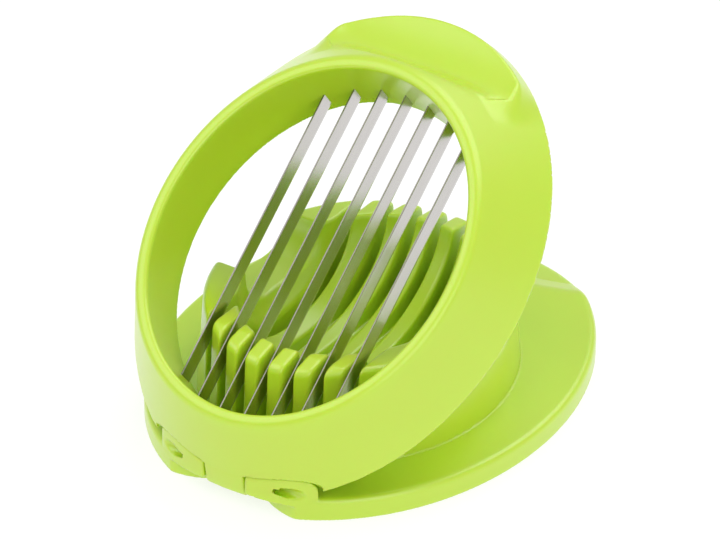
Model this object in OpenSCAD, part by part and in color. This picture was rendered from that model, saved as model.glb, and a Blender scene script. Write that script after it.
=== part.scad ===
// Hinged egg slicer: a moulded base with a slotted egg cradle, and a moulded
// frame with a row of steel strip blades that swings down through the slots.
// Millimetres, +Z up. The origin is on the table, under the middle of the
// cradle. +Y points to the thumb tab, -Y to the hinge, X runs along the hinge.

/* [Frame] */
// Width of the frame's opening at the front lip
opening_w = 64.6; // [64:0.1:66]
// Length of the frame's opening at the front lip
opening_l = 75.5; // [74:0.1:77]
// How much the opening narrows on each side towards the back edge
opening_draft = 0.1; // [0.1:0.1:0.3]
// Width of the flat lip round the opening
lip_w = 2.4; // [1.8:0.1:3]
// Rounding of the lip's two edges
lip_round = 0.8; // [0.4:0.1:1]
// Height of the lip above the table when the slicer is closed
frame_top = 22.4; // [21.6:0.1:23]
// Gap between the frame and the plate when the slicer is closed
frame_gap = 0.4; // [0.3:0.1:0.8]
// How far the frame reaches past its opening on each side
frame_side = 9.5; // [9:0.1:10]
// How far the frame reaches past its opening at the hinge
frame_front = 11.5; // [11.2:0.1:12]
// How far the frame reaches past its opening at the thumb tab
frame_back = 18.8; // [18:0.1:20]
// Thickness of the moulded walls of the frame
frame_wall = 1.8; // [1.4:0.1:2]

/* [Thumb tab] */
// Height above the table to which the tab's edge stands upright
tab_top = 10.6; // [9.8:0.1:12]
// Height over which the tab then fades into the frame's outer wall
tab_fade = 5.8; // [4:0.1:8]
// How much the tab's edge leans in for each millimetre of its height
tab_draft = 0.17; // [0.05:0.01:0.3]
// Half the width over which the tab has its full reach
tab_half = 21; // [18:0.1:23]
// Width over which each side of the tab fades into the frame's outer wall
tab_side = 7.5; // [5:0.1:10]
// Distance from the frame's opening to the foot of the thumb rest's back wall
rest_back = 6.6; // [5.8:0.1:8]
// Height of the thumb rest's floor at that foot
rest_high = 12.4; // [11.6:0.1:13]
// How much lower the floor is at the tab's edge
rest_fall = 2.3; // [1.5:0.1:2.8]
// Half the width of the thumb rest at that foot
rest_half = 22.7; // [18:0.1:24]
// How far the thumb rest's ends run out for each millimetre towards the tab's edge
rest_flare = 1.4; // [0.8:0.05:1.5]
// Rise of the back wall for each millimetre, in the middle of the thumb rest
rest_steep = 2.9; // [1.5:0.1:3.5]

/* [Blades] */
// Height of a blade, from its back edge to its cutting edge
blade_w = 4.3; // [3:0.1:5]
// Thickness of the blade strip
blade_t = 0.35; // [0.25:0.05:0.6]
// Height of the blades' lower edge above the table when the slicer is closed
blade_low = 7.9; // [7.5:0.1:8.2]
// How far a blade end reaches past the frame's inner wall
blade_tail = 1.5; // [1:0.1:1.8]
// How much the headed blade end stands above and below the strip
blade_head = 0.8; // [0.4:0.1:1.2]
// Distance from the inner wall to a blade's head
blade_set = 0.4; // [0.2:0.1:0.6]
// Clearance of the frame round each blade
blade_fit = 0.04; // [0.02:0.01:0.06]

/* [Base] */
// How far the plate reaches past the frame's opening on each side
plate_side = 10.2; // [9.8:0.1:11]
// How far the plate reaches past the opening at the hinge
plate_front = 11.1; // [10.8:0.1:11.4]
// How far the plate reaches past the opening at the thumb tab
plate_back = 21.2; // [20:0.1:23]
// Height of the plate's top face above the table
plate_h = 5; // [4.6:0.1:5.6]
// Rounding of the plate's top edge
plate_round = 1; // [0.5:0.1:1.5]
// Thickness of the moulded walls of the base
base_wall = 2; // [1.4:0.1:2.4]
// Length of the thumb scoop in the plate, from its front to the plate's back edge
scoop_l = 15.1; // [12:0.1:17]
// Radius of the thumb scoop's outline on the plate
scoop_r = 62; // [50:1:80]
// Height of the scoop's floor at the plate's back edge
scoop_low = 2; // [1.5:0.1:3.5]

/* [Cradle] */
// Gap between the cradle's foot and the frame's opening on each side
cradle_side = 1.1; // [1:0.05:2]
// Half the difference between the opening's length and the cradle's
cradle_end = 1.35; // [1.3:0.05:2]
// How far the cradle's middle lies behind the opening's middle
cradle_shift = 0.4; // [0:0.1:0.4]
// How much each side leans in from the cradle's foot to its top
cradle_lean = 1.5; // [1.5:0.1:2]
// Height of the front fingers at the edge of the hollow
front_h = 26.7; // [25:0.1:28]
// Height of the back fingers at the edge of the hollow
back_h = 24.5; // [23:0.1:25]
// How far the finger tops fall towards the outside
finger_fall = 1.8; // [0.5:0.1:2.5]
// Thickness of the cradle's end walls beside the hollow
side_wall = 8.8; // [7:0.1:10]
// Depth of the fingers from the cradle's outside to the hollow
finger_l = 7.9; // [6:0.1:9]
// Height of the hollow's floor above the table
hollow_low = 7.9; // [7.6:0.1:10]
// Height at which the hollow is widest
hollow_top = 26.3; // [25:0.1:27]
// Width of the slots that the blades drop into
slot_w = 2.1; // [1.6:0.1:2.6]
// Height of the slot floors above the table
slot_low = 6.4; // [6:0.1:7]
// Radius of the rounded corners of the finger notch in each end of the cradle
notch_r = 7.5; // [6:0.1:9]
// Length of the notch's flat floor
notch_l = 9; // [5:0.1:11]
// Height of the notch's lowest point above the table
notch_low = 16.5; // [15:0.1:19]
// Distance of the notches behind the middle of the cradle
notch_shift = 2.6; // [1:0.1:4]
// Half the length of the cavity under each end of the cradle
cavity_half = 17; // [10:0.5:18]

/* [Hinge] */
// Distance from the frame's opening to the hinge axis
hinge_front = 7.75; // [7.6:0.05:7.9]
// Height of the hinge axis above the table
hinge_z = 6.2; // [6.1:0.1:6.4]
// Radius of the bores in the ears
bore_r = 1.15; // [1:0.01:1.2]
// Radial clearance of the hinge stubs in their bores
stub_fit = 0.06; // [0.02:0.01:0.1]
// Length of each hinge stub
stub_l = 5.8; // [3:0.1:6.5]
// Half the width of the frame's knuckle
knuckle_half = 4.6; // [3.6:0.1:4.8]
// Radius of the knuckle round the hinge axis
knuckle_r = 3.7; // [3:0.1:3.9]
// Side gap between the knuckle and each ear
ear_gap = 0.3; // [0.25:0.05:0.5]
// Length of each ear along the hinge axis
ear_l = 14.5; // [13:0.1:15]
// Radius of the ears round the hinge axis
ear_r = 3.2; // [2.9:0.1:3.3]
// Radius of the frame's cut-out round each ear
cutout_r = 3.6; // [3.6:0.1:3.8]
// Clearance of the plate round the turning knuckle
knuckle_fit = 0.4; // [0.3:0.05:0.6]
// Height of the pocket under each ear at its outer end
pocket_h = 3; // [2:0.1:3.1]
// Rise of the pocket's ceiling for each millimetre towards the knuckle
pocket_rise = 0.12; // [0:0.01:0.14]
// Distance from the knuckle's middle to the outer end of each pocket
pocket_x = 15; // [12:0.1:15.5]
// Radius of the pocket's curved back wall
pocket_r = 16; // [14:0.5:24]
// Angle between frame and base as the part is drawn
open_angle = 37; // [0:0.5:95]

/* [Hidden] */
sides = 96;
slices = 20;
eps = 0.01;
lime = [0.71, 0.85, 0.19];
steel = [0.78, 0.77, 0.76];
blade_half = 3;
hinge_y = opening_l / 2 + hinge_front;
frame_bottom = plate_h + frame_gap;
cradle_w = opening_w - 2 * cradle_side;
cradle_l = opening_l - 2 * cradle_end;
hollow_w = cradle_w - 2 * side_wall;
hollow_l = cradle_l - 2 * finger_l;
blade_pitch = hollow_w / (blade_half * 2 + 2);
notch_y = cradle_shift + notch_shift;
ear_x = knuckle_half + ear_gap;
big = 2 * opening_l;

// An outline is [half width, half length, shift in Y, height].
function oval(o) = [for (i = [0:sides - 1]) let (t = 360 * (i + 0.5) / sides)
    [o[0] * cos(t), o[2] + o[1] * sin(t), o[3]]];
function flat(points) = [for (p = points) [p[0], p[1]]];
function grow(o, d) = [o[0] + d, o[1] + d, o[2], o[3]];
function mix(a, b, t) = a * (1 - t) + b * t;
// Side faces between rings of n points, with a cap at each end.
function skin(n, rings) = concat(
    [[for (i = [0:n - 1]) i]],
    [for (k = [0:rings - 2], i = [0:n - 1], h = [0, 1]) let (j = (i + 1) % n)
        h == 0 ? [k * n + i, (k + 1) * n + i, (k + 1) * n + j] : [k * n + i, (k + 1) * n + j, k * n + j]],
    [[for (i = [n - 1:-1:0]) (rings - 1) * n + i]]);

module loft(outlines)
    polyhedron([for (o = outlines) each oval(o)], skin(sides, len(outlines)));

module disc(o, h) linear_extrude(h) polygon(flat(oval(o)));

plate = [opening_w / 2 + plate_side, (opening_l + plate_front + plate_back) / 2,
    (plate_back - plate_front) / 2, 0];
scoop_y = plate[1] + plate[2] - scoop_l;
rest_y = opening_l / 2 + rest_back;
cradle_foot = [cradle_w / 2, cradle_l / 2, cradle_shift, plate_h];
cradle_top = [cradle_foot[0] - cradle_lean, cradle_foot[1] - cradle_lean, cradle_shift, front_h];
skirt = [opening_w / 2 + frame_side, (opening_l + frame_front + frame_back) / 2,
    (frame_back - frame_front) / 2, frame_bottom];
lip = [opening_w / 2 + lip_w, opening_l / 2 + lip_w, 0, frame_top];
mouth = [opening_w / 2, opening_l / 2, 0, frame_top];
throat = [mouth[0] - opening_draft, mouth[1] - opening_draft, 0, frame_bottom];
rest_reach = skirt[1] + skirt[2] - rest_y;

// ---- base ----

// The egg's shape: a trough whose depth and length both shrink towards its ends.
module hollow() {
    n = 24;
    function arc(s) = let (x = hollow_w / 2 * s, l = hollow_l / 2 * sqrt(1 - s * s),
        d = (hollow_top - hollow_low) * pow(1 - pow(abs(s), 2.8), 1 / 2.8))
        concat([for (i = [0:n]) let (t = 180 * i / n)
            [x, cradle_shift + l * cos(t), hollow_top - d * sin(t)]],
            [[x, cradle_shift - l, hollow_top + 9], [x, cradle_shift + l, hollow_top + 9]]);
    polyhedron([for (k = [0:slices]) each arc(sin(86 * (1 - 2 * k / slices)))], skin(n + 3, slices + 1));
}

// Everything above the finger tops.
module above_fingers()
    translate([big / 2, 0, 0]) rotate([90, 0, -90]) linear_extrude(big)
        polygon([[cradle_l / 2 + 2, front_h - finger_fall], [hollow_l / 2, front_h],
            [-hollow_l / 2, back_h], [-cradle_l / 2 - 2, back_h - finger_fall],
            [-big / 2, back_h - finger_fall], [-big / 2, 60], [big / 2, 60],
            [big / 2, front_h - finger_fall]]);

module cradle()
    difference() {
        loft([cradle_foot - [0, 0, 0, 1], cradle_foot, cradle_top,
            cradle_top + [0, 0, 0, 1]]);
        above_fingers();
        hollow();
        for (k = [-blade_half:blade_half])
            translate([k * blade_pitch - slot_w / 2, -cradle_l / 2 - 2, slot_low])
                cube([slot_w, cradle_l + 4, front_h]);
        for (side = [-1, 1])
            translate([-big / 2, notch_y + side * notch_l / 2, notch_low + notch_r])
                rotate([0, 90, 0]) cylinder(r = notch_r, h = big, $fn = 96);
        translate([-big / 2, notch_y - notch_l / 2, notch_low]) cube([big, notch_l, front_h]);
        translate([-big / 2, notch_y - notch_l / 2 - notch_r, notch_low + notch_r])
            cube([big, notch_l + 2 * notch_r, front_h]);
    }

module rounded_plate()
    loft(concat([plate], [for (a = [0:30:90])
        grow(plate, -plate_round * (1 - cos(a)))
        + [0, 0, 0, plate_h - plate_round * (1 - sin(a))]]));

// The hollow moulded into the underside round two crossed ribs, with the hinge and the scoop left solid.
module underside()
    difference() {
        translate([0, 0, -1]) disc(grow(plate, -base_wall), plate_h - base_wall + 1);
        translate([-ear_x - ear_l - base_wall, -big, -2]) cube([2 * (ear_x + ear_l + base_wall),
            big - hinge_y + knuckle_r + knuckle_fit + base_wall, plate_h + 4]);
        translate([0, scoop_y + scoop_r, -2]) cylinder(r = scoop_r + base_wall, h = plate_h + 4, $fn = 144);
        translate([-big / 2, -base_wall / 2, -2]) cube([big, base_wall, plate_h]);
        translate([-base_wall / 2, -big / 2, -2]) cube([base_wall, big, plate_h]);
    }

// Cavities under the two ends of the cradle.
module end_cavities()
    for (side = [-1, 1])
        intersection() {
            loft([grow(cradle_foot, -base_wall) - [0, 0, 0, plate_h], grow(cradle_top, -base_wall)]);
            translate([side > 0 ? hollow_w / 2 + base_wall : -big, notch_y - cavity_half, eps])
                cube([big - hollow_w / 2 - base_wall, 2 * cavity_half, notch_low - base_wall]);
        }

module ears()
    for (side = [-1, 1]) intersection() {
        disc(plate, plate_h + 6);
        translate([side * (ear_x + ear_l / 2), -hinge_y, 0]) union() {
            translate([-ear_l / 2, -9, plate_h - 2]) cube([ear_l, 9 + ear_r, hinge_z - plate_h + 2]);
            translate([-ear_l / 2, 0, hinge_z]) rotate([0, 90, 0])
                cylinder(r = ear_r, h = ear_l, $fn = 48);
        }
    }

// The hollow under an ear, open to the knuckle's gap, with a sloping ceiling.
module ear_pocket(side) {
    edge_y = plate[2] - plate[1] * sqrt(1 - pow(pocket_x / plate[0], 2));
    difference() {
        translate([0, -hinge_y + cutout_r, 0]) rotate([90, 0, 0]) linear_extrude(big)
            polygon([[0, -1], [side * pocket_x, -1], [side * pocket_x, pocket_h],
                [0, pocket_h + pocket_rise * pocket_x]]);
        translate([side * pocket_x, edge_y + pocket_r, -2]) cylinder(r = pocket_r, h = plate_h + 4, $fn = 144);
    }
}

module base()
    color(lime) difference() {
        union() {
            rounded_plate();
            cradle();
            ears();
        }
        underside();
        end_cavities();
        translate([0, scoop_y + scoop_r, 0]) rotate_extrude($fn = 144)
            polygon([[0, scoop_low], [scoop_r - 13, scoop_low], [scoop_r - 5, scoop_low + 1.3],
                [scoop_r, plate_h], [scoop_r + 1, plate_h + 1], [0, plate_h + 1]]);
        translate([-ear_x, -big, -1])
            cube([2 * ear_x, big - hinge_y + knuckle_r + knuckle_fit, hinge_z + 5]);
        for (side = [-1, 1]) {
            translate([side > 0 ? ear_x - 1 : -ear_x - ear_l - 3, -hinge_y, hinge_z])
                rotate([0, 90, 0]) cylinder(r = bore_r, h = ear_l + 4, $fn = 48);
            ear_pocket(side);
        }
    }

// ---- frame, drawn closed and then swung open ----

module swung()
    translate([0, -hinge_y, hinge_z]) rotate([open_angle, 0, 0]) translate([0, hinge_y, -hinge_z])
        children();

function wall_at(z) = mix(skirt, lip, (z - frame_bottom) / (frame_top - frame_bottom));

// The tab's part in the outline: all of it in the middle of the thumb side, none from its sides on.
function ease(t) = let (s = max(0, min(1, t))) s * s * (3 - 2 * s);
function share(angle, z) = sin(angle) < 0 ? 0
    : (1 - ease((abs(cos(angle)) * skirt[0] - tab_half) / tab_side)) * (1 - ease((z - tab_top) / tab_fade));
// The frame's outer wall at a height, moved out by d.
function body_ring(z, d) = let (tab = grow(skirt, -tab_draft * (z - frame_bottom)))
    [for (i = [0:sides - 1]) let (a = 360 * (i + 0.5) / sides, o = grow(mix(wall_at(z), tab, share(a, z)), d))
        [o[0] * cos(a), o[2] + o[1] * sin(a), z]];
body_levels = [frame_bottom, for (k = [0:8]) tab_top + tab_fade * k / 8];

module frame_body()
    polyhedron([for (z = body_levels) each body_ring(z, 0), for (a = [0:30:90])
        each oval(grow(wall_at(frame_top - lip_round * (1 - sin(a))), -lip_round * (1 - cos(a))))],
        skin(sides, len(body_levels) + 4));

module opening()
    loft(concat([throat - [0, 0, 0, 8], throat, mouth - [0, 0, 0, lip_round]], [for (a = [30:30:90])
        grow(mouth, lip_round * (1 - cos(a))) - [0, 0, 0, lip_round * (1 - sin(a))]],
        [grow(mouth, lip_round) + [0, 0, 0, 1]]));

// What the thumb rest takes off the tab: all above its floor and in front of its back wall, which
// is steep in the middle and fades out at both ends. extra widens it on all sides.
module thumb_rest(extra) {
    function half(y) = rest_half + extra + (y - rest_y) * rest_flare;
    function rise(x) = rest_steep * max(0.02, 1 - pow(x / rest_half, 2));
    function floor_at(y) = rest_high - extra - rest_fall * (1 - pow(1 - min(1, (y - rest_y) / rest_reach), 2));
    function foot(y) = y - extra;
    back = [for (k = [2:-1:1]) rest_y - k * rest_back * 0.45];
    front = [for (k = [0:5]) rest_y + k * rest_reach / 5];
    function section(s) = concat(
        [[s * half(back[0]), foot(back[0]), frame_top + 9]],
        [for (y = back) let (x = s * half(y)) [x, foot(y), rest_high + (rest_y - y) * rise(x)]],
        [for (y = front) [s * half(y), foot(y), floor_at(y)]],
        [[s * half(front[5]), big, floor_at(front[5])], [s * half(front[5]), big, frame_top + 9]]);
    polyhedron([for (k = [0:slices]) each section(2 * k / slices - 1)], skin(len(section(1)), slices + 1));
}

module channel()
    difference() {
        polyhedron([for (z = [frame_bottom - 1, for (z = body_levels) z, frame_top - frame_wall])
            each body_ring(z, -frame_wall)], skin(sides, len(body_levels) + 2));
        loft([grow(throat, frame_wall) - [0, 0, 0, 3], grow(mouth, frame_wall) + [0, 0, 0, 3]]);
        thumb_rest(frame_wall);
    }

module knuckle()
    intersection() {
        union() {
            translate([-knuckle_half, -hinge_y, hinge_z]) rotate([0, 90, 0])
                cylinder(r = knuckle_r, h = 2 * knuckle_half, $fn = 64);
            intersection() {
                frame_body();
                translate([-knuckle_half, -big, 0])
                    cube([2 * knuckle_half, big - mouth[1] - lip_round, blade_low + blade_w + frame_wall]);
            }
        }
        translate([-big / 2, skirt[2] - skirt[1] - 0.4, 0]) cube(big);
    }

module frame()
    color(lime) swung() {
        difference() {
            union() {
                difference() {
                    frame_body();
                    channel();
                    thumb_rest(0);
                    for (side = [-1, 1])
                        translate([side > 0 ? knuckle_half : -ear_x - ear_l - ear_gap, -hinge_y, hinge_z])
                            rotate([0, 90, 0])
                                cylinder(r = cutout_r, h = ear_l + 2 * ear_gap, $fn = 64);
                }
                knuckle();
            }
            opening();
            for (k = [-blade_half:blade_half]) blade_shape(k, blade_fit);
        }
        for (side = [-1, 1])
            translate([side > 0 ? knuckle_half - eps : -knuckle_half - stub_l, -hinge_y, hinge_z])
                rotate([0, 90, 0]) cylinder(r = bore_r - stub_fit, h = stub_l + eps, $fn = 48);
    }

// ---- blades ----

// Half the distance between the two places where blade k leaves the inner wall.
function reach(k) = let (o = grow(throat, frame_wall)) o[1] * sqrt(1 - pow(k * blade_pitch / o[0], 2));

module blade_shape(k, extra) {
    end = reach(k) + blade_tail + extra;
    neck = reach(k) + blade_set - extra;
    low = blade_low - extra;
    high = blade_low + blade_w + extra;
    translate([k * blade_pitch - blade_t / 2 - extra, 0, 0]) rotate([90, 0, 90])
        linear_extrude(blade_t + 2 * extra)
            polygon([[-end, low - blade_head], [-neck, low - blade_head], [-neck, low], [neck, low],
                [neck, low - blade_head], [end, low - blade_head], [end, high + blade_head],
                [neck, high + blade_head], [neck, high], [-neck, high], [-neck, high + blade_head],
                [-end, high + blade_head]]);
}

module blade(k) color(steel) swung() blade_shape(k, 0);

module blade_1() blade(-3);
module blade_2() blade(-2);
module blade_3() blade(-1);
module blade_4() blade(0);
module blade_5() blade(1);
module blade_6() blade(2);
module blade_7() blade(3);

base();
frame();
blade_1();
blade_2();
blade_3();
blade_4();
blade_5();
blade_6();
blade_7();
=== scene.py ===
"""A hinged egg slicer: a lime plastic base and frame, and seven flat steel blades.

Sizes are in mm until a mesh is made. The frame and the blades are made closed over the cradle, then turned
about the hinge to where they stand at rest.
"""
import math

import bpy
import numpy as np
from mathutils import Matrix, Vector


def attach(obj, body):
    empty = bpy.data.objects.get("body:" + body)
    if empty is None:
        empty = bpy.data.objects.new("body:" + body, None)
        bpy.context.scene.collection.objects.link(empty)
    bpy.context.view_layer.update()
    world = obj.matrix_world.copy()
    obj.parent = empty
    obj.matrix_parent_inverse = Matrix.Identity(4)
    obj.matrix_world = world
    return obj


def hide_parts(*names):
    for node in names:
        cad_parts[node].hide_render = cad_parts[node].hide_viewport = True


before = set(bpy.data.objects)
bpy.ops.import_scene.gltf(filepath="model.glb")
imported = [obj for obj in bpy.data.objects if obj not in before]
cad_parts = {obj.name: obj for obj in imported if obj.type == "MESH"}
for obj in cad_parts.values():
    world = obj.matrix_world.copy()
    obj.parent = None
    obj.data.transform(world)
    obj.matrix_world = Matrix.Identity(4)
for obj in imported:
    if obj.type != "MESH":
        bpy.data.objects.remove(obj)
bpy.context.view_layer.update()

# ---- sizes, in mm, as the solids have them, but for the plate, the ears and the cut-outs round them ----
# An oval is its half width, its half length and its shift in Y.
PITCH, SIDE_BLADES = 5.6, 3

# plate, kept 0.03 mm inside its solid; the thumb scoop's floor has its height by the distance from SCOOP_Y
PLATE = np.array([42.47, 53.86, 5.05])
PLATE_H, RIM_T, UNDER_H, RIB_T = 5.0, 2.0, 3.0, 2.0
SCOOP_Y, SCOOP_AT, SCOOP_H, SCOOP_KEEP = 105.85, (49.0, 57.0, 62.0, 70.0), (2.0, 3.3, 5.0, 7.7), 64.0

# cradle: its crest is highest over the hollow's end by the hinge
FOOT = np.array([31.2, 36.4, 0.4])
LEAN, CRADLE_TOP, CRADLE_T, SUNK = 1.5, 26.7, 2.0, 1.0
CREST_Y, CREST_Z = (-38.4, -28.5, 28.5, 38.4), (24.9, 26.7, 24.5, 22.7)
HOLLOW_A, HOLLOW_B, HOLLOW_LOW, HOLLOW_TOP = 22.4, 28.5, 7.9, 26.3
NOTCH_R, NOTCH_L, NOTCH_Y, NOTCH_LOW = 7.5, 9.0, 3.0, 16.5
SLOT, SLOT_LOW = 2.1, 6.4
CAVITY_LOW, CAVITY_H, CAVITY_L = 1.0, 14.6, 34.0

# hinge; the gap between ears and cut-outs is finer than the solids have it
HINGE_Y, HINGE_Z, OPEN = -45.5, 6.2, 37.0
EAR_X, EAR_L, EAR_R, BORE_R, CUTOUT_R, CUTOUT_X = 4.9, 14.5, 3.4, 1.15, 3.5, 19.7
EAR_GAP_Y, BLOCK_X, BLOCK_Y = -41.4, 21.4, -39.4
POCKET_X, POCKET_Y, POCKET_H, POCKET_RISE, POCKET_R, POCKET_EDGE = 15.0, -41.9, 3.0, 0.12, 16.0, -45.38
KNUCKLE, KNUCKLE_R, STUB_L, STUB_R = 4.6, 3.7, 5.8, 1.09

# frame: a cone from the skirt up to the lip, round the mouth
SKIRT = np.array([41.8, 52.9, 3.65])
LIP = np.array([34.7, 40.15, 0.0])
MOUTH = np.array([32.3, 37.75, 0.0])
DRAFT, WALL, FRAME_LOW, FRAME_TOP, WEB_Y, WEB_H = 0.1, 1.8, 5.4, 22.4, -20.0, 14.0
TAB_TOP, TAB_FADE, TAB_DRAFT, TAB_HALF, TAB_SIDE = 10.6, 5.8, 0.17, 21.0, 7.5
REST_Y, REST_HIGH, REST_FALL, REST_HALF, REST_FLARE, REST_STEEP = 44.35, 12.4, 2.3, 22.7, 1.4, 2.9

# blades; a share is of the thickness
BLADE_T, BLADE_W, BLADE_LOW, BLADE_TAIL, BLADE_HEAD = 0.35, 4.3, 7.9, 1.5, 0.8
GROUND_H, GROUND_SHARE, BACK_H, BACK_SHARE = 0.55, 0.35, 0.09, 0.6
HEAD_AT, HEAD_STEP = 0.4, 0.02

# the boxes that the base and the closed frame fill
BASE_LOW, BASE_HIGH = (-42.5, -48.85, 0), (42.5, 58.95, 26.7)
RING_LOW, RING_HIGH = (-41.8, -49.3, 2.4), (41.8, 56.6, 22.4)

# roundings of the edges that show most
RIM_ROUND, CREST_ROUND, HOLLOW_ROUND, NOTCH_ROUND, SLOT_ROUND, EAR_ROUND = 1.5, 1.6, 1.0, 0.7, 0.8, 2.2
LIP_ROUND, MOUTH_ROUND = 1.1, 1.0


# ---- solids as distance fields, negative inside; the last value of each joining is its rounding ----
def both(a, b, r=0.3):
    """What a and b share, with the edge between them rounded."""
    h = np.maximum(r - np.abs(a - b), 0) / r
    return np.maximum(a, b) + h * h * r * 0.25


def either(a, b, r=0.3):
    return -both(-a, -b, r)


def without(a, b, r=0.3):
    return both(a, -b, r)


def oval(x, y, o):
    """Distance to an upright oval wall; the oval's three sizes may vary with height."""
    a, b, c = o
    u, v = x / a, (y - c) / b
    q = np.sqrt(u * u + v * v) + 1e-9
    return (q - 1) * q / (np.sqrt((u / a) ** 2 + (v / b) ** 2) + 1e-9)


def rod(y, z, r):
    """Distance to a round rod along the hinge."""
    return np.hypot(y - HINGE_Y, z - HINGE_Z) - r


# ---- the base ----
def hollow(x, y, z):
    """The egg's shape: an oval in plan, full across and rounder lengthwise."""
    def gauge(x, y, z):
        u, v = x / HOLLOW_A, (y - FOOT[2]) / HOLLOW_B
        w = np.maximum(HOLLOW_TOP - z, 0) / (HOLLOW_TOP - HOLLOW_LOW)
        p = np.hypot(u, v) + 1e-6
        n = 2 + 0.8 * (u / p) ** 2
        return (p ** n + w ** n) ** (1 / n)
    g, e = gauge(x, y, z), 0.05
    slope = np.sqrt(sum((gauge(*(c + e * (i == k) for i, c in enumerate((x, y, z)))) - g) ** 2
                        for k in range(3))) / e
    return (g - 1) / np.maximum(slope, 0.01)


def cradle_wall(x, y, z):
    t = (z - PLATE_H) / (CRADLE_TOP - PLATE_H)
    return oval(x, y, (FOOT[0] - LEAN * t, FOOT[1] - LEAN * t, FOOT[2]))


def cradle(x, y, z):
    """The egg's seat: a leaning wall that is hollowed, notched at both sides and slotted for the blades."""
    f = both(cradle_wall(x, y, z), z - np.interp(y, CREST_Y, CREST_Z), CREST_ROUND)
    f = without(f, hollow(x, y, z), HOLLOW_ROUND)
    notch = np.hypot(np.maximum(np.abs(y - NOTCH_Y) - NOTCH_L / 2, 0), np.minimum(z - NOTCH_LOW - NOTCH_R, 0))
    f = without(f, notch - NOTCH_R, NOTCH_ROUND)
    near = PITCH * np.clip(np.round(x / PITCH), -SIDE_BLADES, SIDE_BLADES)
    slot = both(np.abs(x - near) - SLOT / 2, SLOT_LOW - z, 0.4)
    return both(without(f, slot, SLOT_ROUND), PLATE_H - SUNK - z, 0.1)


def scoop_floor(x, y):
    return np.interp(np.hypot(x, y - SCOOP_Y), SCOOP_AT, SCOOP_H)


def ears(x, y, z, rim):
    """Both ears and what joins them: round at the top, and cut off at the plate's rim."""
    f = either(rod(y, z, EAR_R), both(y - HINGE_Y - EAR_R, z - HINGE_Z, 0.1), 0.1)
    f = both(both(f, rim, 0.5), np.abs(x) - EAR_X - EAR_L, EAR_ROUND)
    return both(f, PLATE_H - 2 * SUNK - z, 0.1)


def ear_pockets(x, y, z):
    """The room under the ears, which ends in a round wall and has a ceiling that falls off sideways."""
    ax = np.abs(x)
    ceiling = (z - POCKET_H - POCKET_RISE * (POCKET_X - ax)) / math.hypot(1, POCKET_RISE)
    back = POCKET_R - np.hypot(ax - POCKET_X, y - POCKET_EDGE - POCKET_R)
    return both(both(ceiling, np.maximum(ax - POCKET_X, y - POCKET_Y), 0.3), back, 0.3)


def plate_hollow(x, y, z, rim):
    """The room under the plate; a block at the hinge, two crossed ribs and the scoop's floor are left."""
    ax = np.abs(x)
    f = both(both(rim + RIM_T, z - UNDER_H, 1), -both(y - BLOCK_Y, ax - BLOCK_X, 1), 1)
    f = both(f, RIB_T / 2 - np.minimum(ax, np.abs(y)), 0.5)
    return both(f, SCOOP_KEEP - np.hypot(x, y - SCOOP_Y), 1)


def end_cavities(x, y, z):
    """The cavities that rise from below into the cradle's solid ends."""
    f = both(cradle_wall(x, y, z) + CRADLE_T, HOLLOW_A + CRADLE_T - np.abs(x), 1)
    f = both(f, both(z - CAVITY_H, np.abs(y - NOTCH_Y) - CAVITY_L / 2, 1), 1)
    return both(f, CAVITY_LOW - z, 0.2)


def base_field(x, y, z):
    """The base: plate, cradle and ears in one, open underneath."""
    ax = np.abs(x)
    rim = oval(x, y, PLATE)
    top = either(np.full_like(x, PLATE_H), scoop_floor(x, y), 0.5)
    f = both(rim, z - top, RIM_ROUND)
    f = either(f, cradle(x, y, z), 0.25)
    f = either(f, ears(x, y, z, rim), 0.15)
    f = without(f, both(rod(y, z, BORE_R), ax - EAR_X - EAR_L - 3, 0.1), 0.3)
    f = without(f, both(ax - EAR_X, y - EAR_GAP_Y, 0.8), 0.5)
    f = without(f, ear_pockets(x, y, z), 0.3)
    f = without(f, plate_hollow(x, y, z, rim), 0.5)
    return both(without(f, end_cavities(x, y, z), 0.5), -z, 0.5)


# ---- the frame ----
def ease(t):
    t = np.clip(t, 0, 1)
    return t * t * (3 - 2 * t)


def frame_wall(x, y, z):
    """Distance to the frame's outer wall: a cone between two ovals that swells into the thumb tab."""
    u, v = x / SKIRT[0], (y - SKIRT[2]) / SKIRT[1]
    across = np.abs(u) / (np.hypot(u, v) + 1e-6) * SKIRT[0]
    tab = (1 - ease((across - TAB_HALF) / TAB_SIDE)) * (1 - ease((z - TAB_TOP) / TAB_FADE)) * (v > 0)
    t = (z - FRAME_LOW) / (FRAME_TOP - FRAME_LOW)
    cone = [a * (1 - t) + b * t for a, b in zip(SKIRT, LIP)]
    lean = TAB_DRAFT * (z - FRAME_LOW)
    upright = (SKIRT[0] - lean, SKIRT[1] - lean, SKIRT[2])
    return oval(x, y, [w * (1 - tab) + s * tab for w, s in zip(cone, upright)])


def thumb_rest(x, y, z, extra=0.0):
    """What the thumb rest takes off the tab; its back wall is steep in the middle and fades out sideways."""
    rise = REST_STEEP * np.maximum(0.02, 1 - (x / REST_HALF) ** 2)
    back = (REST_HIGH + (REST_Y - y - extra) * rise - z) / np.sqrt(1 + rise * rise)
    run = np.clip((y - REST_Y) / (SKIRT[1] + SKIRT[2] - REST_Y), -0.2, 1)
    floor = REST_HIGH - REST_FALL * (1 - (1 - run) ** 2) - z - extra
    end = (np.abs(x) - REST_HALF - extra - (y - REST_Y) * REST_FLARE) / math.hypot(1, REST_FLARE)
    return both(both(back, floor, 1.5), end, 0.4)


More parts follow.
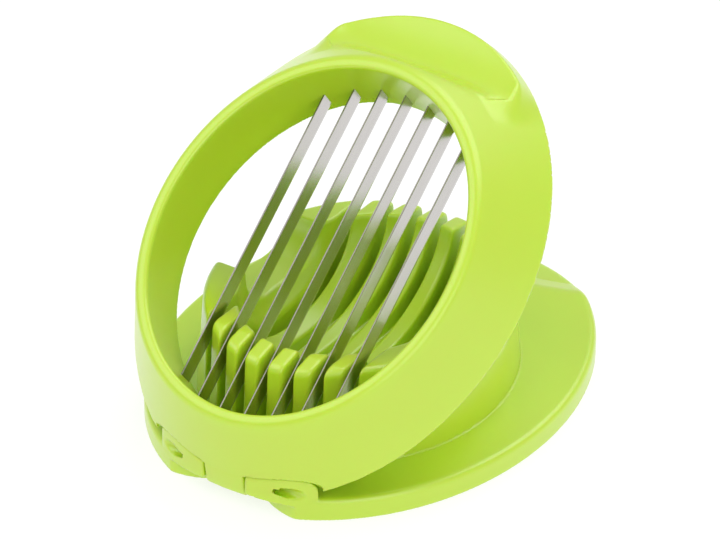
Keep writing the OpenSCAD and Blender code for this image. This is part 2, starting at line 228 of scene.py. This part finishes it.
def frame_field(x, y, z):
    """The frame, closed over the cradle: a ring that is hollow from below, with a knuckle and two stubs."""
    ax = np.abs(x)
    outer = frame_wall(x, y, z)
    k = (z - FRAME_LOW) / (FRAME_TOP - FRAME_LOW)
    inner = oval(x, y, (MOUTH[0] - DRAFT * (1 - k), MOUTH[1] - DRAFT * (1 - k), MOUTH[2]))
    f = without(outer, thumb_rest(x, y, z), 0.5)
    f = without(both(f, z - FRAME_TOP, LIP_ROUND), inner, MOUTH_ROUND)
    channel = both(both(outer + WALL, WALL - inner, 0.6), z - FRAME_TOP + 2 * WALL, 1.5)
    channel = without(channel, thumb_rest(x, y, z, WALL), 0.5)
    web = both(ax - KNUCKLE, both(y - WEB_Y, z - WEB_H, 0.3), 0.3)
    f = both(without(f, without(channel, web, 0.3), 0.3), FRAME_LOW - z, 0.5)
    cut = np.abs(ax - (KNUCKLE + CUTOUT_X) / 2) - (CUTOUT_X - KNUCKLE) / 2
    f = without(f, both(rod(y, z, CUTOUT_R), cut, 0.2), 0.3)
    knuckle = both(both(rod(y, z, KNUCKLE_R), ax - KNUCKLE, 0.5), outer, 0.8)
    f = either(f, knuckle, 0.3)
    return either(f, both(rod(y, z, STUB_R), ax - KNUCKLE - STUB_L, 0.4), 0.1)


# ---- from a field to a mesh ----
# margins round a field, in cells; their odd shares keep flat faces off the grid
BEFORE, AFTER = 1.37, 1.6
# how often a point is drawn to the surface, and how far at most, in cells
DRAWN, STEP_MOST = 5, 0.4
CORNERS = [(i, j, k) for i in (0, 1) for j in (0, 1) for k in (0, 1)]


def slope_of(field, p, e=0.03):
    g = np.empty_like(p)
    for k in range(3):
        d = np.zeros(3)
        d[k] = e
        g[:, k] = (field(*(p + d).T) - field(*(p - d).T)) / (2 * e)
    return g


def sampled(field, axes):
    """The field's values at the grid's points, one sheet of equal X at a time."""
    yy, zz = np.meshgrid(axes[1], axes[2], indexing="ij")
    values = np.empty([len(a) for a in axes], np.float32)
    for i, x in enumerate(axes[0]):
        values[i] = field(np.full_like(yy, x), yy, zz)
    return values


def surface_cells(inside):
    """The cells that the surface runs through, and a grid that holds the number of each."""
    count = np.zeros([m - 1 for m in inside.shape], np.int8)
    for c in CORNERS:
        count += inside[tuple(slice(a, m - 1 + a) for a, m in zip(c, inside.shape))]
    cells = np.argwhere((count > 0) & (count < len(CORNERS)))
    number = np.full(count.shape, -1, np.int32)
    number[tuple(cells.T)] = np.arange(len(cells))
    return cells, number


def cell_points(values, cells):
    """For each cell the middle of the places where the surface crosses its edges, counted in cells."""
    total, hits = np.zeros((len(cells), 3)), np.zeros(len(cells))
    for c in CORNERS:
        for k in range(3):
            if c[k]:
                continue
            a = cells + np.array(c)
            b = a + np.eye(3, dtype=int)[k]
            va, vb = values[tuple(a.T)], values[tuple(b.T)]
            cross = (va < 0) != (vb < 0)
            t = np.where(cross, va / np.where(cross, va - vb, 1), 0)
            point = a.astype(float)
            point[:, k] += t
            total += point * cross[:, None]
            hits += cross
    return total / hits[:, None]


def cell_quads(inside, number):
    """A quad for each grid edge that the surface crosses: the four cells round it, wound to face out."""
    n = inside.shape
    faces = []
    for k in range(3):
        u, v = (k + 1) % 3, (k + 2) % 3
        start = [slice(1, m - 1) for m in n]
        start[k] = slice(0, n[k] - 1)
        end = list(start)
        end[k] = slice(1, n[k])
        a, b = inside[tuple(start)], inside[tuple(end)]
        edges = np.argwhere(a != b)
        leaving = a[tuple(edges.T)]
        edges[:, u] += 1
        edges[:, v] += 1
        ring = []
        for du, dv in ((0, 0), (-1, 0), (-1, -1), (0, -1)):
            e = edges.copy()
            e[:, u] += du
            e[:, v] += dv
            ring.append(number[tuple(e.T)])
        quads = np.stack(ring, 1)
        quads[~leaving] = quads[~leaving][:, ::-1]
        faces.append(quads)
    return np.concatenate(faces)


def skin_mesh(name, field, lo, hi, h):
    """A quad mesh of the field's surface in cells of h; its normals are the field's."""
    axes = [np.arange(a - h * BEFORE, b + h * AFTER, h) for a, b in zip(lo, hi)]
    values = sampled(field, axes)
    cells, number = surface_cells(values < 0)
    p = cell_points(values, cells) * h + np.array([a[0] for a in axes])
    for _ in range(DRAWN):
        g = slope_of(field, p)
        step = field(*p.T)[:, None] * g / np.maximum((g * g).sum(1), 0.2)[:, None]
        p -= np.clip(step, -STEP_MOST * h, STEP_MOST * h)
    g = slope_of(field, p)
    return fill_mesh(name, p, cell_quads(values < 0, number), g / np.linalg.norm(g, axis=1)[:, None])


def fill_mesh(name, points, quads, normals=None):
    mesh = bpy.data.meshes.new(name)
    mesh.vertices.add(len(points))
    mesh.vertices.foreach_set("co", (np.asarray(points) / 1000).astype(np.float32).ravel())
    mesh.loops.add(quads.size)
    mesh.loops.foreach_set("vertex_index", quads.astype(np.int32).ravel())
    mesh.polygons.add(len(quads))
    mesh.polygons.foreach_set("loop_start", np.arange(0, quads.size, 4, dtype=np.int32))
    mesh.polygons.foreach_set("use_smooth", np.ones(len(quads), bool))
    mesh.update(calc_edges=True)
    mesh.validate()
    if normals is not None:
        mesh.normals_split_custom_set_from_vertices([tuple(v) for v in normals])
    piece = bpy.data.objects.new(name, mesh)
    bpy.context.scene.collection.objects.link(piece)
    return piece


def swing(p, turn_only=False):
    """Turns points, or with turn_only directions, from closed to where they are at rest."""
    c, s = math.cos(math.radians(OPEN)), math.sin(math.radians(OPEN))
    q = np.array(p, float)
    o = np.zeros(3) if turn_only else np.array([0, HINGE_Y, HINGE_Z])
    d = q - o
    return np.stack([d[:, 0], d[:, 1] * c - d[:, 2] * s, d[:, 1] * s + d[:, 2] * c], 1) + o


def swung_piece(piece):
    """Turns a piece, with its normals, from closed to where it is at rest."""
    mesh = piece.data
    off_hinge = Matrix.Translation((0, -HINGE_Y / 1000, -HINGE_Z / 1000))
    on_hinge = Matrix.Translation((0, HINGE_Y / 1000, HINGE_Z / 1000))
    turn = on_hinge @ Matrix.Rotation(math.radians(OPEN), 4, "X") @ off_hinge
    n = np.empty(len(mesh.loops) * 3, np.float32)
    mesh.corner_normals.foreach_get("vector", n)
    mesh.transform(turn)
    n = swing(n.reshape(-1, 3), turn_only=True)
    mesh.normals_split_custom_set([tuple(v) for v in n])
    return piece


# ---- the blades ----
def reach(k):
    """How far blade k runs from the middle to the frame's inner wall, and through it."""
    a, b = MOUTH[0] - DRAFT + WALL, MOUTH[1] - DRAFT + WALL
    return b * math.sqrt(1 - (k * PITCH / a) ** 2)


def blade(k):
    """A flat strip with a ground lower edge, a rounded upper edge and a square head at both ends."""
    half, t, w = reach(k), BLADE_T / 2, BLADE_W
    section = [(-t * GROUND_SHARE, 0), (t * GROUND_SHARE, 0), (t, GROUND_H), (t, w - BACK_H),
               (t * BACK_SHARE, w), (-t * BACK_SHARE, w), (-t, w - BACK_H), (-t, GROUND_H)]
    tail = [half + HEAD_AT, half + HEAD_AT + HEAD_STEP, half + BLADE_TAIL]
    stations = np.concatenate([[-y for y in tail[::-1]], np.linspace(-half, half, 25), tail])
    points, quads, m = [], [], len(section)
    for y in stations:
        grow = BLADE_HEAD if abs(y) > half + HEAD_AT + HEAD_STEP / 2 else 0
        for x, z in section:
            points.append((k * PITCH + x, y, BLADE_LOW + z + (grow if z > w / 2 else -grow)))
    for i in range(len(stations) - 1):
        for j in range(m):
            a, b = i * m + j, i * m + (j + 1) % m
            quads.append((a, a + m, b + m, b))
    last = (len(stations) - 1) * m
    for o, flip in ((0, False), (last, True)):
        for q in ((0, 1, 2, 7), (7, 2, 3, 6), (6, 3, 4, 5)):
            quads.append(tuple(o + i for i in (q[::-1] if flip else q)))
    piece = fill_mesh(f"blade_strip_{k + SIDE_BLADES + 1}", swing(points), np.array(quads))
    for edge in piece.data.edges:
        edge.use_edge_sharp = True
    return piece


# ---- materials ----
class Wire:
    """A shader value that takes part in sums."""
    def __init__(self, tree, socket):
        self.tree, self.socket = tree, socket

    def node(self, kind, settings=None, **inputs):
        """A new node; an input goes by its socket's name, with _ for a space, or by i and its number."""
        n = self.tree.nodes.new(kind)
        for key, value in (settings or {}).items():
            setattr(n, key, value)
        for key, value in inputs.items():
            numbered = key[0] == "i" and key[1:].isdigit()
            spot = n.inputs[int(key[1:]) if numbered else key.replace("_", " ")]
            if isinstance(value, Wire):
                self.tree.links.new(value.socket, spot)
            else:
                spot.default_value = value
        return n

    def get(self, kind, output=0, settings=None, **inputs):
        return Wire(self.tree, self.node(kind, settings, **inputs).outputs[output])

    def maths(self, how, *values):
        numbered = {f"i{k}": v for k, v in enumerate(values)}
        return self.get("ShaderNodeMath", 0, {"operation": how}, **numbered)

    def __add__(self, o):
        return self.maths("ADD", self, o)

    def __radd__(self, o):
        return self.maths("ADD", o, self)

    def __mul__(self, o):
        return self.maths("MULTIPLY", self, o)

    def __rmul__(self, o):
        return self.maths("MULTIPLY", o, self)

    def ramp(self, lo, hi, to_lo=0.0, to_hi=1.0):
        return self.get("ShaderNodeMapRange", Value=self, From_Min=lo, From_Max=hi,
                        To_Min=to_lo, To_Max=to_hi)

    def mix(self, a, b):
        """Colour a where this is 0, colour b where it is 1."""
        return self.get("ShaderNodeMix", 2, {"data_type": "RGBA"}, i0=self, i6=a, i7=b)


def material(name, **constants):
    """A material, its shader with the constants set, and the place on the piece for its textures."""
    m = bpy.data.materials.new(name)
    m.use_nodes = True
    shader = m.node_tree.nodes["Principled BSDF"]
    for key, value in constants.items():
        shader.inputs[key.replace("_", " ")].default_value = value
    where = Wire(m.node_tree, None).get("ShaderNodeTexCoord", 3)
    return m, shader, where


def feed(shader, socket, wire):
    wire.tree.links.new(wire.socket, shader.inputs[socket])


def lime_plastic(name):
    """Glossy moulded plastic with a faint flow in its colour, a fine grain and a few rubbed specks."""
    lime, cast, worn = (0.505, 0.70, 0.022, 1), (1.02, 1.01, 1.1, 1), (0.75, 0.86, 0.45, 1)
    m, shader, where = material(name, Roughness=0.3, IOR=1.66, Subsurface_Weight=0.3, Subsurface_Scale=0.004,
                                Subsurface_Radius=(0.4, 1.0, 0.1), Coat_Weight=0.5, Coat_Roughness=0.35)
    flow = where.get("ShaderNodeTexNoise", Vector=where, Scale=38.0, Detail=3.0)
    grain = where.get("ShaderNodeTexNoise", Vector=where, Scale=2600.0, Detail=2.0)
    speck = where.get("ShaderNodeTexVoronoi", Vector=where, Scale=170.0)
    rub = where.get("ShaderNodeTexNoise", Vector=where, Scale=420.0, Detail=5.0)
    specks = speck.ramp(0.05, 0.02) * rub.ramp(0.56, 0.62)
    base = flow.ramp(0.35, 0.65).mix(lime, tuple(a * b for a, b in zip(lime, cast)))
    feed(shader, "Base Color", (specks * 0.2).mix(base, worn))
    feed(shader, "Roughness", rub.ramp(0.3, 0.7, 0.28, 0.31) + specks * 0.1)
    feed(shader, "Normal", where.get("ShaderNodeBump", Strength=0.01, Distance=0.0002,
                                     Height=grain + specks * 2.0))
    return m


def blade_steel(name):
    """Steel brushed along the blades, with painted shade on their narrow edges: a darker colour there dims
    their reflections.
    """
    # edge is painted shade: a darker colour for the narrow edges that dims what they reflect
    dark, light, edge = (0.55, 0.53, 0.515, 1), (0.60, 0.58, 0.565, 1), (0.24, 0.22, 0.21, 1)
    m, shader, where = material(name, Metallic=1.0)
    along = where.get("ShaderNodeMapping", 0, {"vector_type": "TEXTURE"}, Vector=where,
                      Rotation=(math.radians(OPEN), 0, 0), Scale=(1 / 3000, 1 / 12, 1 / 3000))
    brush = where.get("ShaderNodeTexNoise", Vector=along, Scale=1.0, Detail=4.0)
    cloud = where.get("ShaderNodeTexNoise", Vector=where, Scale=90.0, Detail=2.0)
    facing = where.get("ShaderNodeSeparateXYZ", i0=where.get("ShaderNodeTexCoord", 1))
    # mask for the painted edge shade: 0 on the narrow edges, which take the painted shade, 1 on the flat
    # faces
    painted_edge_shade_mask = facing.maths("ABSOLUTE", facing).ramp(0.5, 0.95)
    flat = (brush * 0.6 + cloud * 0.4).ramp(0.3, 0.7).mix(dark, light)
    feed(shader, "Base Color", painted_edge_shade_mask.mix(edge, flat))
    feed(shader, "Roughness", brush.ramp(0.3, 0.7, 0.2, 0.26))
    feed(shader, "Normal", where.get("ShaderNodeBump", Strength=0.02, Distance=0.0001, Height=brush))
    return m


# ---- the pieces ----
fine = 0.5
lime = lime_plastic("lime_plastic")
steel = blade_steel("blade_steel")

base = skin_mesh("base_moulding", base_field, BASE_LOW, BASE_HIGH, fine)
ring = swung_piece(skin_mesh("frame_moulding", frame_field, RING_LOW, RING_HIGH, fine))
for piece, body, node in ((base, "base", "base"), (ring, "frame", "frame")):
    piece.data.materials.append(lime)
    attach(piece, body)
    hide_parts(node)
for k in range(-SIDE_BLADES, SIDE_BLADES + 1):
    strip = blade(k)
    strip.data.materials.append(steel)
    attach(strip, "frame")
    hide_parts(f"blade_{k + SIDE_BLADES + 1}")

# ---- camera, floor and light, in metres ----
AZ, EL, FAR = math.radians(33.36), math.radians(34.64), 1.1359
AIM_UP, AIM_RIGHT = 0.02396, 0.00036
SENSOR, LENS = 36, 278.15             # in mm
FLOOR, SOFTBOX = 6, 1.0

back = Vector((math.sin(AZ) * math.cos(EL), -math.cos(AZ) * math.cos(EL), math.sin(EL)))
right = Vector((math.cos(AZ), math.sin(AZ), 0))
up = back.cross(right)
camera = bpy.data.objects.new("camera", bpy.data.cameras.new("camera"))
bpy.context.scene.collection.objects.link(camera)
camera.data.sensor_width, camera.data.lens = SENSOR, LENS
camera.data.clip_start, camera.data.clip_end = 0.01, 50
camera.location = back * FAR
aim = up * AIM_UP + right * AIM_RIGHT
camera.rotation_euler = (aim - camera.location).to_track_quat("-Z", "Y").to_euler()
bpy.context.scene.camera = camera

floor_mesh = bpy.data.meshes.new("floor")
floor_corners = [(-FLOOR, -FLOOR, 0), (FLOOR, -FLOOR, 0), (FLOOR, FLOOR, 0), (-FLOOR, FLOOR, 0)]
floor_mesh.from_pydata(floor_corners, [], [(0, 1, 2, 3)])
floor = bpy.data.objects.new("floor", floor_mesh)
bpy.context.scene.collection.objects.link(floor)
paper, paper_shader, spot = material("paper", Roughness=0.9, Emission_Color=(1, 1, 1, 1),
                                     Emission_Strength=0.78)
tint = spot.get("ShaderNodeTexNoise", Vector=spot, Scale=3.0)
feed(paper_shader, "Base Color", tint.mix((0.25, 0.25, 0.25, 1), (0.26, 0.26, 0.26, 1)))
floor_mesh.materials.append(paper)

world = bpy.data.worlds.new("studio")
bpy.context.scene.world = world
bpy.context.scene.view_settings.view_transform = "Standard"
world.use_nodes = True
world.node_tree.nodes["Background"].inputs[0].default_value = (1, 1, 1, 1)
world.node_tree.nodes["Background"].inputs[1].default_value = 0.57


def softbox(name, place, power):
    light = bpy.data.lights.new(name, "AREA")
    light.shape, light.size, light.energy = "SQUARE", SOFTBOX, power
    lamp = bpy.data.objects.new(name, light)
    lamp.location = place
    lamp.rotation_euler = (Vector((0, 0, 0.02)) - Vector(place)).to_track_quat("-Z", "Y").to_euler()
    bpy.context.scene.collection.objects.link(lamp)


softbox("key_left", (-0.55, -0.5, 0.9), 4.3)
softbox("top_back", (0.15, 0.6, 1.0), 5.5)
softbox("fill_right", (0.9, -0.6, 0.6), 4.5)
